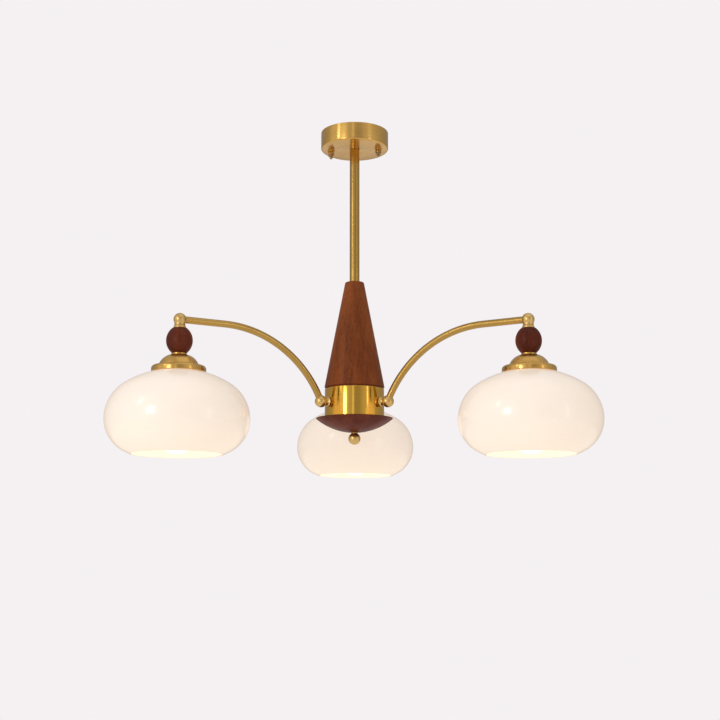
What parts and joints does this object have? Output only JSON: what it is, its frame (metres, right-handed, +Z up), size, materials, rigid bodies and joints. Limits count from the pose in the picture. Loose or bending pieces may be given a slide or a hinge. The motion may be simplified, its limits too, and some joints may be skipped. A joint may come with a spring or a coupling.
{
  "type": "multi arm chandelier",
  "caption": "Ceiling chandelier with curved brass tube arms on a brass and turned wood centre, each arm ending in a wooden bead, a brass cap and an oval opal glass shade open below.",
  "frame": {"origin": "centre of the bracket face that meets the ceiling, on the axis of the stem; the light hangs below it", "axes": "+Z up into the ceiling, +X to the right of the light and +Y towards its back arm"},
  "size_m": [0.6866, 0.6215, 0.5134],
  "materials": {
    "satin_brass": "satin",
    "polished_brass": "polished",
    "walnut": "satin",
    "dark_walnut": "satin",
    "opal_glass": "gloss",
    "bulb_glass": "matte",
    "plated_steel": "satin",
    "cream_plastic": "matte"
  },
  "bodies": {
    "root": {"ceiling_bracket": "plated_steel", "canopy_studs": "plated_steel", "earth_screw": "polished_brass", "terminal_block": "cream_plastic", "canopy": "satin_brass", "stem": "satin_brass", "stem_pipe": "plated_steel", "stem_washer": "plated_steel", "stem_nut": "plated_steel", "cone": "walnut", "hub_drum": "polished_brass", "hub_pipe": "plated_steel", "hub_nut": "plated_steel", "tie_rod": "plated_steel"},
    "dish": {"dish": "dark_walnut"},
    "finial": {"finial": "polished_brass"},
    "canopy_washer_left": {"canopy_washer_left": "polished_brass"},
    "canopy_nut_left": {"canopy_nut_left": "polished_brass"},
    "canopy_washer_right": {"canopy_washer_right": "polished_brass"},
    "canopy_nut_right": {"canopy_nut_right": "polished_brass"},
    "arm_left": {"knuckle_left": "polished_brass", "knuckle_nut_left": "plated_steel", "arm_tube_left": "polished_brass", "elbow_left": "polished_brass"},
    "lamp_left": {"collar_left": "polished_brass", "bead_left": "dark_walnut", "cap_left": "satin_brass", "nipple_left": "plated_steel", "lampholder_left": "cream_plastic"},
    "shade_left": {"shade_left": "opal_glass"},
    "shade_ring_left": {"shade_ring_left": "cream_plastic"},
    "bulb_left": {"bulb_globe_left": "bulb_glass", "bulb_base_left": "plated_steel"},
    "arm_right": {"knuckle_right": "polished_brass", "knuckle_nut_right": "plated_steel", "arm_tube_right": "polished_brass", "elbow_right": "polished_brass"},
    "lamp_right": {"collar_right": "polished_brass", "bead_right": "dark_walnut", "cap_right": "satin_brass", "nipple_right": "plated_steel", "lampholder_right": "cream_plastic"},
    "shade_right": {"shade_right": "opal_glass"},
    "shade_ring_right": {"shade_ring_right": "cream_plastic"},
    "bulb_right": {"bulb_globe_right": "bulb_glass", "bulb_base_right": "plated_steel"},
    "arm_back": {"knuckle_back": "polished_brass", "knuckle_nut_back": "plated_steel", "arm_tube_back": "polished_brass", "elbow_back": "polished_brass"},
    "lamp_back": {"collar_back": "polished_brass", "bead_back": "dark_walnut", "cap_back": "satin_brass", "nipple_back": "plated_steel", "lampholder_back": "cream_plastic"},
    "shade_back": {"shade_back": "opal_glass"},
    "shade_ring_back": {"shade_ring_back": "cream_plastic"},
    "bulb_back": {"bulb_globe_back": "bulb_glass", "bulb_base_back": "plated_steel"}
  },
  "joints": [
    {"name": "canopy_washer_left_drop", "type": "slide", "parent": "root", "child": "canopy_washer_left", "axis": [0, 0, -1], "range_m": [0, 0.0049]},
    {"name": "canopy_nut_left_turn", "type": "hinge", "parent": "canopy_washer_left", "child": "canopy_nut_left", "pos_m": [-0.03664, 0.00515, -0.032], "axis": [0, 0, -1], "range_deg": [0, 2530]},
    {"name": "canopy_washer_right_drop", "type": "slide", "parent": "root", "child": "canopy_washer_right", "axis": [0, 0, -1], "range_m": [0, 0.0049]},
    {"name": "canopy_nut_right_turn", "type": "hinge", "parent": "canopy_washer_right", "child": "canopy_nut_right", "pos_m": [0.03664, -0.00515, -0.032], "axis": [0, 0, -1], "range_deg": [0, 2530]},
    {"name": "dish_drop", "type": "slide", "parent": "root", "child": "dish", "axis": [0, 0, -1], "range_m": [0, 0.008]},
    {"name": "finial_turn", "type": "hinge", "parent": "dish", "child": "finial", "pos_m": [0, 0, -0.4765], "axis": [0, 0, -1], "range_deg": [0, 2890]},
    {"name": "arm_left_roll", "type": "hinge", "parent": "root", "child": "arm_left", "pos_m": [-0.04936, -0.0285, -0.424], "axis": [-0.866, -0.5, 0], "range_deg": [-12, 12]},
    {"name": "lamp_left_swivel", "type": "hinge", "parent": "arm_left", "child": "lamp_left", "pos_m": [-0.24335, -0.1405, -0.32315], "axis": [0, 0, 1], "range_deg": [-170, 170]},
    {"name": "shade_left_drop", "type": "slide", "parent": "lamp_left", "child": "shade_left", "axis": [0, 0, -1], "range_m": [0, 0.018]},
    {"name": "shade_ring_left_turn", "type": "hinge", "parent": "shade_left", "child": "shade_ring_left", "pos_m": [-0.24335, -0.1405, -0.40277], "axis": [0, 0, -1], "range_deg": [0, 2600]},
    {"name": "bulb_left_out", "type": "slide", "parent": "lamp_left", "child": "bulb_left", "axis": [0, 0, -1], "range_m": [0, 0.115]},
    {"name": "arm_right_roll", "type": "hinge", "parent": "root", "child": "arm_right", "pos_m": [0.04936, -0.0285, -0.424], "axis": [0.866, -0.5, 0], "range_deg": [-12, 12]},
    {"name": "lamp_right_swivel", "type": "hinge", "parent": "arm_right", "child": "lamp_right", "pos_m": [0.24335, -0.1405, -0.32315], "axis": [0, 0, 1], "range_deg": [-170, 170]},
    {"name": "shade_right_drop", "type": "slide", "parent": "lamp_right", "child": "shade_right", "axis": [0, 0, -1], "range_m": [0, 0.018]},
    {"name": "shade_ring_right_turn", "type": "hinge", "parent": "shade_right", "child": "shade_ring_right", "pos_m": [0.24335, -0.1405, -0.40277], "axis": [0, 0, -1], "range_deg": [0, 2600]},
    {"name": "bulb_right_out", "type": "slide", "parent": "lamp_right", "child": "bulb_right", "axis": [0, 0, -1], "range_m": [0, 0.115]},
    {"name": "arm_back_roll", "type": "hinge", "parent": "root", "child": "arm_back", "pos_m": [0, 0.057, -0.424], "axis": [0, 1, 0], "range_deg": [-12, 12]},
    {"name": "lamp_back_swivel", "type": "hinge", "parent": "arm_back", "child": "lamp_back", "pos_m": [0, 0.281, -0.32315], "axis": [0, 0, 1], "range_deg": [-170, 170]},
    {"name": "shade_back_drop", "type": "slide", "parent": "lamp_back", "child": "shade_back", "axis": [0, 0, -1], "range_m": [0, 0.018]},
    {"name": "shade_ring_back_turn", "type": "hinge", "parent": "shade_back", "child": "shade_ring_back", "pos_m": [0, 0.281, -0.40277], "axis": [0, 0, -1], "range_deg": [0, 2600]},
    {"name": "bulb_back_out", "type": "slide", "parent": "lamp_back", "child": "bulb_back", "axis": [0, 0, -1], "range_m": [0, 0.115]}
  ],
  "couplings": [
    {"joint": "canopy_nut_left_turn", "follows": "canopy_washer_left_drop", "rad_per_m": 8976},
    {"joint": "canopy_nut_right_turn", "follows": "canopy_washer_right_drop", "rad_per_m": 8976},
    {"joint": "finial_turn", "follows": "dish_drop", "rad_per_m": 6283.2},
    {"joint": "shade_ring_left_turn", "follows": "shade_left_drop", "rad_per_m": 2513.3},
    {"joint": "shade_ring_right_turn", "follows": "shade_right_drop", "rad_per_m": 2513.3},
    {"joint": "shade_ring_back_turn", "follows": "shade_back_drop", "rad_per_m": 2513.3}
  ]
}
